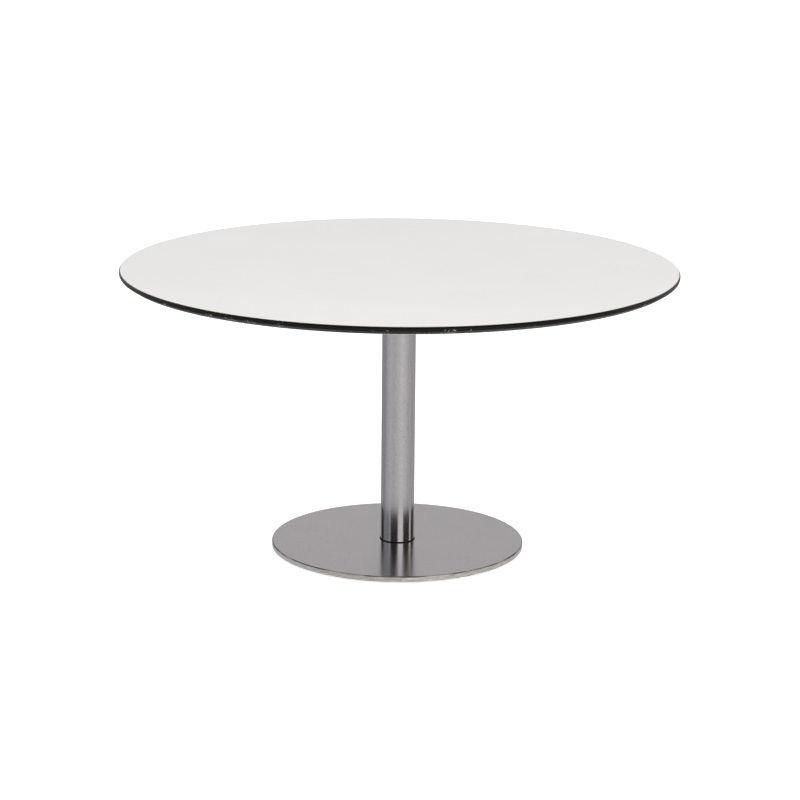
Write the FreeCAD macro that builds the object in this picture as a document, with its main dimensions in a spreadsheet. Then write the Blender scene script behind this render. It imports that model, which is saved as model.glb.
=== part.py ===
"""Low round bistro table: a compact-laminate top on a four-armed spider, a steel column and a disc base.

Millimetres, +Z up.  The origin is on the floor, under the column's axis.
"""
import FreeCAD
import Part
import os
import re
import Sketcher

# Driving dimensions.  Heights are measured from the floor.
SIZES = {
    "table_height": 510,
    # round top: a black core with a thin sheet on each face, bevelled above and, more deeply, below
    "top_radius": 490,
    "top_thickness": 14,
    "laminate_thickness": 0.5,
    "top_bevel": 2,
    "under_bevel_height": 6,
    "under_bevel_run": 10,
    "under_bevel_rounding": 5,
    # disc base and the ring under the column
    "base_radius": 225,
    "base_thickness": 10,
    "base_gap": 3,
    "base_corner": 2,
    "gasket_radius": 31.5,
    "gasket_bore": 28.2,
    "gasket_height": 1,
    # column and what holds it together inside
    "column_radius": 30,
    "column_wall": 2,
    "insert_clearance": 0.15,
    "plug_height": 15,
    "plug_bore_gap": 1,
    "rod_radius": 5,
    "rod_hole": 5.3,
    "rod_foot": 1,
    "rod_reach": 488,
    "thread_clearance": 0.05,
    "recess_radius": 16,
    "recess_depth": 5,
    "washer_radius": 15,
    "washer_thickness": 2,
    "nut_flats": 17,
    "nut_height": 5,
    # countersunk screws that hold the plug to the base
    "plug_screw_circle": 22.5,
    "plug_screw_radius": 2.5,
    "plug_screw_head": 5,
    "plug_screw_length": 14,
    "plug_screw_gap": 0.2,
    "plug_screw_socket": 3,
    "plug_screw_socket_depth": 2,
    # spider under the top
    "hub_height": 25,
    "plate_side": 120,
    "plate_corner": 10,
    "arm_width": 40,
    "arm_reach": 320,
    "arm_thickness": 5,
    "arm_corner": 12,
    # screws and threaded inserts that hold the top
    "inner_screw_circle": 160,
    "outer_screw_circle": 300,
    "top_screw_radius": 3,
    "top_screw_hole": 3.3,
    "top_screw_length": 12,
    "top_screw_head": 5.5,
    "top_screw_head_height": 3.5,
    "top_screw_socket": 4,
    "top_screw_socket_depth": 2,
    "insert_radius": 4.5,
    "insert_length": 8,
    # levelling feet
    "foot_circle": 195,
    "pad_radius": 14,
    "pad_height": 2.8,
    "pad_corner": 0.6,
    "pad_floor": 1,
    "pad_key_hole": 3,
    "pad_pocket": 6.2,
    "pad_mouth": 4.6,
    "pad_lip": 0.5,
    "stud_radius": 4,
    "stud_top": 10.9,
    "stud_flange": 6,
    "stud_flange_gap": 0.05,
    "stud_socket": 4,
    "stud_socket_depth": 4,
    "stud_hole_depth": 8.5,
}

# Heights and radii that follow from the driving dimensions.
DERIVED = {
    "base_top": "=base_gap + base_thickness",
    "column_foot": "=base_top + gasket_height",
    "top_underside": "=table_height - top_thickness",
    "core_underside": "=top_underside + laminate_thickness",
    "core_top": "=table_height - laminate_thickness",
    "face_radius": "=top_radius - top_bevel",
    "backing_radius": "=top_radius - under_bevel_run",
    "core_corner": "=top_underside + laminate_thickness + under_bevel_height",
    "core_shoulder": "=table_height - laminate_thickness - top_bevel",
    "arm_underside": "=top_underside - arm_thickness",
    "column_bore": "=column_radius - column_wall",
    "sleeve_radius": "=column_bore - insert_clearance",
    "recess_top": "=base_gap + recess_depth",
    "rod_thread": "=rod_radius + thread_clearance",
    "plug_top": "=base_top + plug_height",
    "pad_pocket_top": "=pad_height - pad_lip",
}

ARM_COUNT = 4
FOOT_COUNT = 4
PLUG_SCREW_COUNT = 3

doc = FreeCAD.newDocument("bistro_table")
sheet = doc.addObject("Spreadsheet::Sheet", "sizes")
node_objects = []


def fill_sheet():
    """One row for each dimension: its name, then its value in a cell with that alias."""
    rows = list(SIZES.items()) + list(DERIVED.items())
    for row, (alias, value) in enumerate(rows, start=1):
        sheet.set(f"A{row}", alias)
        sheet.set(f"B{row}", str(value))
        sheet.setAlias(f"B{row}", alias)
    doc.recompute()


def sized(expression):
    """The value, in millimetres, that an expression in the sheet's names has now."""
    value = sheet.evalExpression(expression)
    return float(getattr(value, "Value", value))


def bind(thing, prop, expression):
    """Bind a property to an expression whose names are cells of the sheet."""
    def cell(word):
        known = word[0] in SIZES or word[0] in DERIVED
        return f"sizes.{word[0]}" if known else word[0]

    thing.setExpression(prop, re.sub("[a-z_]+", cell, expression))


def node(thing, label):
    """Name a finished sub-part and keep it for the export."""
    thing.Label = label
    node_objects.append(thing)
    return thing


def new_body(name):
    return doc.addObject("PartDesign::Body", name + "_body")


def new_sketch(body, name, plane, height=None):
    """A sketch on one of its body's origin planes, raised by height when that is given."""
    support = next(item for item in body.Origin.OriginFeatures if item.Role == plane)
    sketch = body.newObject("Sketcher::SketchObject", name)
    sketch.AttachmentSupport = (support, [""])
    sketch.MapMode = "FlatFace"
    if height:
        bind(sketch, "AttachmentOffset.Base.z", height)
    return sketch


def fix_point(sketch, edge, end, across, up):
    """Place one end of a sketch edge by two expressions, or on an axis where one is "0"."""
    for kind, expression, axis in (("DistanceX", across, -2), ("DistanceY", up, -1)):
        if expression == "0":
            sketch.addConstraint(Sketcher.Constraint("PointOnObject", edge, end, axis))
            continue
        value = sized(expression)
        first, last = ((-1, 1), (edge, end)) if value > 0 else ((edge, end), (-1, 1))
        rule = Sketcher.Constraint(kind, *first, *last, abs(value))
        index = sketch.addConstraint(rule)
        sign = "" if value > 0 else "-1 * "
        bind(sketch, f"Constraints[{index}]", f"{sign}({expression})")


def outline(sketch, corners):
    """A closed outline of straight edges through corners given as pairs of expressions."""
    points = [FreeCAD.Vector(sized(across), sized(up), 0) for across, up in corners]
    edges = []
    for start, end in zip(points, points[1:] + points[:1]):
        edges.append(sketch.addGeometry(Part.LineSegment(start, end), False))
    for edge, following in zip(edges, edges[1:] + edges[:1]):
        sketch.addConstraint(Sketcher.Constraint("Coincident", edge, 2, following, 1))
    for edge, (across, up) in zip(edges, corners):
        fix_point(sketch, edge, 1, across, up)


def circle(sketch, radius, across="0", up="0"):
    """A circle, its centre and radius bound to the sheet."""
    centre = FreeCAD.Vector(sized(across), sized(up), 0)
    normal = FreeCAD.Vector(0, 0, 1)
    edge = sketch.addGeometry(Part.Circle(centre, normal, sized(radius)), False)
    fix_point(sketch, edge, 3, across, up)
    index = sketch.addConstraint(Sketcher.Constraint("Radius", edge, sized(radius)))
    bind(sketch, f"Constraints[{index}]", radius)


def revolved(body, name, corners):
    """Turn a profile of (radius, height) corners once around the body's Z axis."""
    profile = new_sketch(body, name + "_profile", "XZ_Plane")
    outline(profile, corners)
    turned = body.newObject("PartDesign::Revolution", name + "_turned")
    turned.Profile = profile
    turned.ReferenceAxis = (profile, ["V_Axis"])
    turned.Angle = 360
    doc.recompute()
    return turned


def ring(name, inner, outer, low, high):
    """A body that is a plain ring, or a disc where inner is "0"."""
    body = new_body(name)
    revolved(body, name, [(inner, low), (outer, low), (outer, high), (inner, high)])
    return body


def pocket(body, name, height, depth, holes):
    """Cut round holes of the given depth upwards from height; holes are (radius, across, up)."""
    before = body.Shape.Volume
    sketch = new_sketch(body, name + "_sketch", "XY_Plane", height)
    for radius, across, up in holes:
        circle(sketch, radius, across, up)
    cut = body.newObject("PartDesign::Pocket", name)
    cut.Profile = sketch
    cut.Reversed = True
    bind(cut, "Length", depth)
    doc.recompute()
    if body.Shape.Volume >= before:
        raise RuntimeError(f"{name} cut nothing")
    return cut


def repeat(body, name, features, count):
    """Repeat features at equal angles round the body's Z axis."""
    pattern = body.newObject("PartDesign::PolarPattern", name)
    pattern.Originals = features
    z_axis = next(item for item in body.Origin.OriginFeatures if item.Role == "Z_Axis")
    pattern.Axis = (z_axis, [""])
    pattern.Angle = 360
    pattern.Occurrences = count
    body.Tip = pattern
    doc.recompute()
    return pattern


def circle_edges(shape, radius, height):
    """Names of the whole-circle edges of this radius round Z at this height."""
    names = []
    for number, edge in enumerate(shape.Edges, start=1):
        curve = edge.Curve
        if not isinstance(curve, Part.Circle) or abs(curve.Radius - sized(radius)) > 0.01:
            continue
        if abs(curve.Center.z - sized(height)) < 0.01 and curve.Center.x ** 2 + curve.Center.y ** 2 < 0.01:
            names.append(f"Edge{number}")
    return names


def upright_edges(shape, across, up):
    """Names of the vertical straight edges at the corners (+-across, +-up) that exist."""
    names = []
    for number, edge in enumerate(shape.Edges, start=1):
        low, high = edge.BoundBox.ZMin, edge.BoundBox.ZMax
        middle = edge.BoundBox.Center
        at_corner = abs(abs(middle.x) - across) < 0.01 and abs(abs(middle.y) - up) < 0.01
        if at_corner and high - low > 1 and edge.BoundBox.XLength < 0.01:
            names.append(f"Edge{number}")
    return names


def rounded(body, name, edges, radius):
    """Fillet the named edges of the body's tip."""
    base = body.Tip
    fillet = body.newObject("PartDesign::Fillet", name)
    fillet.Base = (base, edges)
    bind(fillet, "Radius", radius)
    body.Tip = fillet
    doc.recompute()
    return fillet


def round_circles(body, name, radius, rings):
    """Fillet the outer circles given as (circle radius, height)."""
    edges = []
    for ring_radius, height in rings:
        edges += circle_edges(body.Shape, ring_radius, height)
    return rounded(body, name, edges, radius)


def ring_point(circle_radius, number, count):
    """Expressions for one of count points on a circle round Z."""
    angle = 360 * number / count
    return f"{circle_radius} * cos({angle} deg)", f"{circle_radius} * sin({angle} deg)"


def put(thing, across, up, height):
    bind(thing, "Placement.Base.x", across)
    bind(thing, "Placement.Base.y", up)
    bind(thing, "Placement.Base.z", height)


def primitive(kind, name, sizes, place):
    """A Part primitive with its sizes and its place bound to the sheet."""
    thing = doc.addObject(kind, name)
    for prop, expression in sizes.items():
        bind(thing, prop, expression)
    put(thing, *place)
    return thing


def boolean(kind, name, base, tool):
    thing = doc.addObject(kind, name)
    thing.Base = base
    thing.Tool = tool
    return thing


def hex_prism(name, flats, depth, place):
    """A six-sided prism, for a nut or to cut a key socket; flats is the size across them."""
    prism = doc.addObject("Part::Prism", name)
    prism.Polygon = 6
    bind(prism, "Circumradius", f"{flats} / 2 / cos(30 deg)")
    bind(prism, "Height", depth)
    put(prism, *place)
    return prism


def group(parts, label):
    """Several separate solids as one sub-part."""
    compound = doc.addObject("Part::Compound", label + "_group")
    compound.Links = parts
    return node(compound, label)


def make_base_disc():
    """Steel disc: foot holes and countersunk screw holes below, the rod's recess at the centre."""
    body = new_body("base_disc")
    revolved(body, "base_disc", [
        ("rod_hole", "recess_top"), ("recess_radius", "recess_top"), ("recess_radius", "base_gap"),
        ("base_radius", "base_gap"), ("base_radius", "base_top"), ("rod_hole", "base_top")])
    round_circles(body, "base_disc_corner", "base_corner", [("base_radius", "base_top")])
    holes = [("stud_radius + thread_clearance", "foot_circle", "0")]
    foot_hole = pocket(body, "foot_hole", "base_gap", "stud_hole_depth", holes)
    repeat(body, "foot_holes", [foot_hole], FOOT_COUNT)
    cut_screw_holes(body)
    return node(body, "base_disc")


def cut_screw_holes(body):
    """Countersunk holes for the plug screws, turned about each screw's own axis."""
    before = body.Shape.Volume
    profile = new_sketch(body, "screw_hole_profile", "XZ_Plane")
    neck = "plug_screw_circle + plug_screw_radius + plug_screw_gap"
    rim = "plug_screw_circle + plug_screw_head + plug_screw_gap"
    neck_height = "base_gap + plug_screw_head - plug_screw_radius"
    outline(profile, [
        ("plug_screw_circle", "base_gap"), (rim, "base_gap"), (neck, neck_height),
        (neck, "base_top"), ("plug_screw_circle", "base_top")])
    groove = body.newObject("PartDesign::Groove", "screw_hole")
    groove.Profile = profile
    axis_start = FreeCAD.Vector(sized("plug_screw_circle"), sized("base_gap"), 0)
    axis_end = FreeCAD.Vector(sized("plug_screw_circle"), sized("base_top"), 0)
    axis = profile.addGeometry(Part.LineSegment(axis_start, axis_end), True)
    fix_point(profile, axis, 1, "plug_screw_circle", "base_gap")
    fix_point(profile, axis, 2, "plug_screw_circle", "base_top")
    groove.ReferenceAxis = (profile, ["Axis0"])
    groove.Angle = 360
    doc.recompute()
    if body.Shape.Volume >= before:
        raise RuntimeError("the screw hole cut nothing")
    repeat(body, "screw_holes", [groove], PLUG_SCREW_COUNT)


def make_base_gasket():
    """Black ring that the column stands on, a little proud of the tube."""
    return node(ring("base_gasket", "gasket_bore", "gasket_radius", "base_top", "column_foot"), "base_gasket")


def make_column_tube():
    body = ring("column_tube", "column_bore", "column_radius", "column_foot", "arm_underside")
    return node(body, "column_tube")


def make_lower_plug():
    """Turned plug that centres the column on the base."""
    body = ring("lower_plug", "rod_hole", "sleeve_radius", "base_top", "plug_top")
    depth = "plug_screw_length - base_thickness + plug_bore_gap"
    bore = ("plug_screw_radius + thread_clearance", "plug_screw_circle", "0")
    hole = pocket(body, "plug_bore", "base_top", depth, [bore])
    repeat(body, "plug_bores", [hole], PLUG_SCREW_COUNT)
    return node(body, "lower_plug")


def make_plug_screws():
    """Countersunk screws from below, heads flush with the disc's underside."""
    screws = []
    for number in range(PLUG_SCREW_COUNT):
        across, up = ring_point("plug_screw_circle", number, PLUG_SCREW_COUNT)
        place = (across, up, "base_gap")
        name = f"plug_screw_{number + 1}"
        head = primitive("Part::Cone", name + "_head", {
            "Radius1": "plug_screw_head", "Radius2": "plug_screw_radius",
            "Height": "plug_screw_head - plug_screw_radius"}, place)
        shank = primitive("Part::Cylinder", name + "_shank", {
            "Radius": "plug_screw_radius", "Height": "plug_screw_length"}, place)
        socket = hex_prism(name + "_socket", "plug_screw_socket", "plug_screw_socket_depth", place)
        whole = boolean("Part::Fuse", name + "_whole", head, shank)
        screws.append(boolean("Part::Cut", name, whole, socket))
    group(screws, "plug_screws")


def make_tie_rod():
    """Threaded rod from under the base to the spider's hub."""
    return node(ring("tie_rod", "0", "rod_radius", "rod_foot", "rod_reach"), "tie_rod")


def make_tie_rod_washer():
    low = "recess_top - washer_thickness"
    return node(ring("tie_rod_washer", "rod_thread", "washer_radius", low, "recess_top"), "tie_rod_washer")


def make_tie_rod_nut():
    """Thin hexagon nut in the base's recess."""
    place = ("0", "0", "recess_top - washer_thickness - nut_height")
    blank = hex_prism("nut_blank", "nut_flats", "nut_height", place)
    bore = primitive("Part::Cylinder", "nut_bore", {"Radius": "rod_thread", "Height": "nut_height"}, place)
    return node(boolean("Part::Cut", "nut", blank, bore), "tie_rod_nut")


def make_spider_hub():
    """Threaded boss inside the column's top end, welded under the plate."""
    low = "arm_underside - hub_height"
    return node(ring("spider_hub", "rod_thread", "sleeve_radius", low, "arm_underside"), "spider_hub")


def make_spider_plate():
    """Square plate between the four arms, with rounded corners."""
    body = new_body("spider_plate")
    sketch = new_sketch(body, "plate_outline", "XY_Plane", "arm_underside")
    half, back = "plate_side / 2", "0 - plate_side / 2"
    outline(sketch, [(back, back), (half, back), (half, half), (back, half)])
    pad = body.newObject("PartDesign::Pad", "plate_pad")
    pad.Profile = sketch
    bind(pad, "Length", "arm_thickness")
    doc.recompute()
    corner = sized("plate_side / 2")
    rounded(body, "plate_corners", upright_edges(body.Shape, corner, corner), "plate_corner")
    return node(body, "spider_plate")


def make_spider_arm(number):
    """Flat bar welded to one side of the plate, with two screw holes and a rounded end."""
    body = new_body(f"spider_arm_{number}")
    sketch = new_sketch(body, f"arm_{number}_outline", "XY_Plane", "arm_underside")
    near, side, other = "plate_side / 2", "arm_width / 2", "0 - arm_width / 2"
    outline(sketch, [(near, other), ("arm_reach", other), ("arm_reach", side), (near, side)])
    pad = body.newObject("PartDesign::Pad", f"arm_{number}_pad")
    pad.Profile = sketch
    bind(pad, "Length", "arm_thickness")
    doc.recompute()
    ends = upright_edges(body.Shape, sized("arm_reach"), sized(side))
    rounded(body, f"arm_{number}_end", ends, "arm_corner")
    holes = [("top_screw_hole", "inner_screw_circle", "0"), ("top_screw_hole", "outer_screw_circle", "0")]
    pocket(body, f"arm_{number}_holes", "arm_underside", "arm_thickness", holes)
    turn = FreeCAD.Rotation(FreeCAD.Vector(0, 0, 1), 360 * (number - 1) / ARM_COUNT)
    body.Placement = FreeCAD.Placement(FreeCAD.Vector(0, 0, 0), turn)
    return node(body, f"spider_arm_{number}")


def top_screw_points():
    """Two screws along each arm."""
    for number in range(ARM_COUNT):
        for radius in ("inner_screw_circle", "outer_screw_circle"):
            yield ring_point(radius, number, ARM_COUNT)


def make_spider_screws():
    """Pan-head screws up through the arms into the inserts."""
    screws = []
    head_height = "arm_underside - top_screw_head_height"
    for number, (across, up) in enumerate(top_screw_points(), start=1):
        name = f"top_screw_{number}"
        head = primitive("Part::Cylinder", name + "_head", {
            "Radius": "top_screw_head", "Height": "top_screw_head_height"}, (across, up, head_height))
        shank = primitive("Part::Cylinder", name + "_shank", {
            "Radius": "top_screw_radius", "Height": "top_screw_length"}, (across, up, "arm_underside"))
        socket = hex_prism(name + "_socket", "top_screw_socket", "top_screw_socket_depth",
                           (across, up, head_height))
        whole = boolean("Part::Fuse", name + "_whole", head, shank)
        screws.append(boolean("Part::Cut", name, whole, socket))
    group(screws, "spider_screws")


def make_threaded_inserts():
    """Brass sleeves in the core, flush with its underside."""
    sleeves = []
    bore_radius = "top_screw_radius + thread_clearance"
    for number, (across, up) in enumerate(top_screw_points(), start=1):
        name = f"insert_{number}"
        place = (across, up, "core_underside")
        outside = primitive("Part::Cylinder", name + "_outside", {
            "Radius": "insert_radius", "Height": "insert_length"}, place)
        bore = primitive("Part::Cylinder", name + "_bore", {
            "Radius": bore_radius, "Height": "insert_length"}, place)
        sleeves.append(boolean("Part::Cut", name, outside, bore))
    group(sleeves, "threaded_inserts")


def insert_holes(body, name, height, depth):
    """The eight holes for the inserts, two for each arm."""
    holes = [("insert_radius", "inner_screw_circle", "0"), ("insert_radius", "outer_screw_circle", "0")]
    hole = pocket(body, name, height, depth, holes)
    repeat(body, name + "_all", [hole], ARM_COUNT)


def make_compact_core():
    """Black core of the top, which shows all round its edge."""
    body = new_body("compact_core")
    revolved(body, "compact_core", [
        ("0", "core_underside"), ("backing_radius", "core_underside"), ("top_radius", "core_corner"),
        ("top_radius", "core_shoulder"), ("face_radius", "core_top"), ("0", "core_top")])
    round_circles(body, "compact_core_rounding", "under_bevel_rounding", [("top_radius", "core_corner")])
    insert_holes(body, "core_holes", "core_underside", "insert_length")
    return node(body, "compact_core")


def make_backing_laminate():
    body = ring("backing_laminate", "0", "backing_radius", "top_underside", "core_underside")
    insert_holes(body, "backing_holes", "top_underside", "laminate_thickness")
    return node(body, "backing_laminate")


def make_face_laminate():
    return node(ring("face_laminate", "0", "face_radius", "core_top", "table_height"), "face_laminate")


def make_foot_pad(number):
    """Plastic pad: a key hole below, and a pocket with a lip that holds the stud's flange."""
    body = new_body(f"foot_pad_{number}")
    revolved(body, f"foot_pad_{number}", [
        ("pad_key_hole", "0"), ("pad_radius", "0"), ("pad_radius", "pad_height"),
        ("pad_mouth", "pad_height"), ("pad_mouth", "pad_pocket_top"), ("pad_pocket", "pad_pocket_top"),
        ("pad_pocket", "pad_floor"), ("pad_key_hole", "pad_floor")])
    rims = [("pad_radius", "0"), ("pad_radius", "pad_height")]
    round_circles(body, f"foot_pad_{number}_rim", "pad_corner", rims)
    across, up = ring_point("foot_circle", number - 1, FOOT_COUNT)
    put(body, across, up, "0")
    return node(body, f"foot_pad_{number}")


def make_foot_stud(number):
    """Threaded stud with a flange that turns in the pad, and a key socket in its lower end."""
    body = new_body(f"foot_stud_{number}")
    foot = "pad_floor + stud_flange_gap"
    shoulder = "pad_pocket_top - stud_flange_gap"
    revolved(body, f"foot_stud_{number}", [
        ("0", foot), ("stud_flange", foot), ("stud_flange", shoulder),
        ("stud_radius", shoulder), ("stud_radius", "stud_top"), ("0", "stud_top")])
    cut_stud_socket(body, number, foot)
    across, up = ring_point("foot_circle", number - 1, FOOT_COUNT)
    put(body, across, up, "0")
    return node(body, f"foot_stud_{number}")


def cut_stud_socket(body, number, foot):
    """Six-sided key socket, cut upwards into the stud's lower end."""
    before = body.Shape.Volume
    sketch = new_sketch(body, f"stud_{number}_key", "XY_Plane", foot)
    corner = "stud_socket / 2 / cos(30 deg)"
    points = []
    for side in range(6):
        angle = 30 + 60 * side
        points.append((f"{corner} * cos({angle} deg)", f"{corner} * sin({angle} deg)"))
    for on_axis in (1, 4):
        points[on_axis] = ("0", points[on_axis][1])
    outline(sketch, points)
    cut = body.newObject("PartDesign::Pocket", f"stud_{number}_socket")
    cut.Profile = sketch
    cut.Reversed = True
    bind(cut, "Length", "stud_socket_depth")
    doc.recompute()
    if body.Shape.Volume >= before:
        raise RuntimeError("the key socket cut nothing")


def check_document():
    """Stop if any object failed, or a sub-part's shape is missing or not valid."""
    for thing in doc.Objects:
        if "Invalid" in thing.State or "Error" in thing.State:
            raise RuntimeError(f"{thing.Name} failed: {thing.State}")
    for thing in node_objects:
        if thing.Shape.isNull() or not thing.Shape.isValid() or not thing.Shape.Solids:
            raise RuntimeError(f"{thing.Label} has no valid shape")


def export_parts():
    os.makedirs("parts", exist_ok=True)
    for thing in node_objects:
        thing.Shape.exportStep(f"parts/{thing.Label}.step")


def main():
    fill_sheet()
    make_base_disc()
    make_base_gasket()
    make_column_tube()
    make_lower_plug()
    make_plug_screws()
    make_tie_rod()
    make_tie_rod_washer()
    make_tie_rod_nut()
    make_spider_hub()
    make_spider_plate()
    for number in range(1, ARM_COUNT + 1):
        make_spider_arm(number)
    make_spider_screws()
    make_threaded_inserts()
    make_compact_core()
    make_backing_laminate()
    make_face_laminate()
    for number in range(1, FOOT_COUNT + 1):
        make_foot_pad(number)
        make_foot_stud(number)
    doc.recompute()
    check_document()
    export_parts()


main()
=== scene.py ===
"""The looks of a low round bistro table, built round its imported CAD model.  Metres, +Z up."""

import bmesh
import bpy
import math
from mathutils import Matrix, Vector
from mathutils.geometry import tessellate_polygon


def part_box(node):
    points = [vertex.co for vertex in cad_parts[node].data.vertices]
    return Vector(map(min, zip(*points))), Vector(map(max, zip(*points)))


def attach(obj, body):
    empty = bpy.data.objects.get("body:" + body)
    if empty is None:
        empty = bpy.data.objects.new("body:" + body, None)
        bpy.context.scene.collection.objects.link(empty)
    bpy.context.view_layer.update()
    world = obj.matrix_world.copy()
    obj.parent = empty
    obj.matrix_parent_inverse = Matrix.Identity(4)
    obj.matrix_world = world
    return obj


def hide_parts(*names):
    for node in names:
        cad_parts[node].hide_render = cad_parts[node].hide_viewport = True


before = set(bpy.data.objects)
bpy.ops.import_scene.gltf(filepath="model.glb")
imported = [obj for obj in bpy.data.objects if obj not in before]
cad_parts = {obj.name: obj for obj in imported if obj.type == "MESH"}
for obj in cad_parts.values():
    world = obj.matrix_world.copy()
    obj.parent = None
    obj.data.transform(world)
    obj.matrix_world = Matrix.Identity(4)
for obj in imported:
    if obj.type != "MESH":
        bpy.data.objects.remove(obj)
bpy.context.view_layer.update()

MM = 0.001
TABLE = "table"
FEET = range(1, 5)
ARMS = range(4)
FINE = 256          # sides of the large round pieces
MEDIUM = 96         # sides of the round pieces a few centimetres across
SMALL = 48          # sides of screws, bores and studs

# ---------------------------------------------------------------- sizes, read from the frame


def low(node):
    """A CAD node's lowest corner at rest."""
    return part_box(node)[0]


def high(node):
    """A CAD node's highest corner at rest."""
    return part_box(node)[1]


TOP_RADIUS = min(high("compact_core").x, -low("compact_core").x)
TOP_HEIGHT = high("face_laminate").z
TOP_UNDERSIDE = low("backing_laminate").z
CORE_LOW = low("compact_core").z
CORE_HIGH = high("compact_core").z
FACE_RADIUS = high("face_laminate").x
BACKING_RADIUS = high("backing_laminate").x
COLUMN_RADIUS = high("column_tube").x
BASE_RADIUS = round(high("base_disc").x, 3)
BASE_LOW = low("base_disc").z
BASE_HIGH = high("base_disc").z
RING_RADIUS = high("base_gasket").x
FOOT_CIRCLE = (low("foot_pad_1").x + high("foot_pad_1").x) / 2
PAD_RADIUS = (high("foot_pad_1").x - low("foot_pad_1").x) / 2
PLATE_HALF = high("spider_plate").x
ARM_REACH = high("spider_arm_1").x
ARM_HALF = high("spider_arm_1").y
ARM_LOW = low("spider_arm_1").z

# Sizes that a node's box doesn't give.  Holes and bores are given by their radius.
SCREW_CIRCLES = (160 * MM, 300 * MM)
PLUG_SCREW_CIRCLE = 22.5 * MM
PLUG_SCREWS = 3
COLUMN_WALL = 2 * MM
UNDER_BEVEL = 6 * MM         # height of the reverse bevel below the top's edge
UNDER_ROUNDING = 5 * MM      # where that bevel meets the edge
BASE_CORNER = 2 * MM
ROD_HOLE = 5.3 * MM
RECESS = 16 * MM             # round the rod's nut, under the disc
RECESS_DEPTH = 5 * MM
FOOT_BORE = 4.05 * MM
FOOT_BORE_DEPTH = 8.5 * MM
COUNTERSINK = 5.3 * MM
COUNTERSINK_DEPTH = 2.5 * MM
SCREW_HOLE = 2.7 * MM
WASHER_BORE = 5.05 * MM      # and the nut's
ROD_THREAD = 25 * MM         # threaded length at each end of the rod
M10_PITCH = 1.5 * MM
M8_RADIUS = 4 * MM
M8_PITCH = 1.25 * MM
M6_RADIUS = 3 * MM
M6_PITCH = 1 * MM


# ---------------------------------------------------------------- mesh tools


def link(name, mesh):
    """A new object in the scene."""
    piece = bpy.data.objects.new(name, mesh)
    bpy.context.scene.collection.objects.link(piece)
    return piece


def shaded(piece, sharp=35):
    """Smooth shading with edges over `sharp` degrees kept sharp, and flat faces kept flat."""
    piece.data.shade_smooth()
    piece.data.set_sharp_from_angle(angle=math.radians(sharp))
    normals = piece.modifiers.new("flat_faces", "WEIGHTED_NORMAL")
    normals.keep_sharp = True
    normals.weight = 100
    return piece


def from_bmesh(name, work, sharp=35):
    """A shaded object from a bmesh."""
    bmesh.ops.remove_doubles(work, verts=work.verts, dist=1e-7)
    bmesh.ops.recalc_face_normals(work, faces=work.faces)
    mesh = bpy.data.meshes.new(name)
    work.to_mesh(mesh)
    work.free()
    return shaded(link(name, mesh), sharp)


def bridge(work, one, other):
    """Faces between two rings of vertices.  A ring of one vertex closes to a point."""
    count = max(len(one), len(other))
    for index in range(count):
        following = (index + 1) % count
        corners = [one[index % len(one)], one[following % len(one)],
                   other[following % len(other)], other[index % len(other)]]
        unique = list(dict.fromkeys(corners))
        if len(unique) > 2:
            work.faces.new(unique)


def softened(corners, steps=6):
    """A closed outline from (x, y, radius) corners, each rounded by an arc of that radius."""
    outline = []
    for before, here, after in zip(corners[-1:] + corners[:-1], corners, corners[1:] + corners[:1]):
        point = Vector(here[:2])
        if here[2] == 0:
            outline.append(point)
            continue
        back = (Vector(before[:2]) - point).normalized()
        ahead = (Vector(after[:2]) - point).normalized()
        half = back.angle(ahead) / 2
        centre = point + (back + ahead).normalized() * here[2] / math.sin(half)
        start = point + back * here[2] / math.tan(half) - centre
        end = point + ahead * here[2] / math.tan(half) - centre
        turn = -start.angle_signed(end)
        for step in range(steps + 1):
            outline.append(centre + Matrix.Rotation(turn * step / steps, 2) @ start)
    return outline


def lathe(name, outline, sides=MEDIUM, centre=(0, 0), wave=None):
    """Turn a closed outline of (radius, height) points round a vertical axis through centre.

    wave(radius, angle) gives a radius to use in place of the outline's own.
    """
    work = bmesh.new()
    rings = []
    for radius, height in outline:
        if radius < 1e-7:
            rings.append([work.verts.new((centre[0], centre[1], height))])
            continue
        ring = []
        for side in range(sides):
            angle = math.tau * side / sides
            reach = wave(radius, angle) if wave else radius
            place = (centre[0] + reach * math.cos(angle), centre[1] + reach * math.sin(angle), height)
            ring.append(work.verts.new(place))
        rings.append(ring)
    for one, other in zip(rings, rings[1:] + rings[:1]):
        if len(one) > 1 or len(other) > 1:
            bridge(work, one, other)
    return from_bmesh(name, work)


def round_loop(radius, centre=(0, 0), sides=MEDIUM, hole=False):
    """A circle as a function of the inset: the outline shrinks with it, and a hole grows."""
    def points(inset):
        reach = radius + inset if hole else radius - inset
        return [Vector((centre[0] + reach * math.cos(math.tau * side / sides),
                        centre[1] + reach * math.sin(math.tau * side / sides))) for side in range(sides)]
    return points


def hexagon(flats, centre=(0, 0), hole=False):
    """A hexagon of that size across flats, as a function of the inset."""
    def points(inset):
        reach = (flats / 2 + (inset if hole else -inset)) / math.cos(math.pi / 6)
        return [Vector((centre[0] + reach * math.cos(math.pi / 3 * side),
                        centre[1] + reach * math.sin(math.pi / 3 * side))) for side in range(6)]
    return points


def rectangle(left, right, bottom, top, radii):
    """A rectangle with its four corner radii, as a function of the inset."""
    def points(inset):
        corners = [(left + inset, bottom + inset), (right - inset, bottom + inset),
                   (right - inset, top - inset), (left + inset, top - inset)]
        return softened([(*corner, max(radius - inset, 0)) for corner, radius in zip(corners, radii)], 8)
    return points


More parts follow.
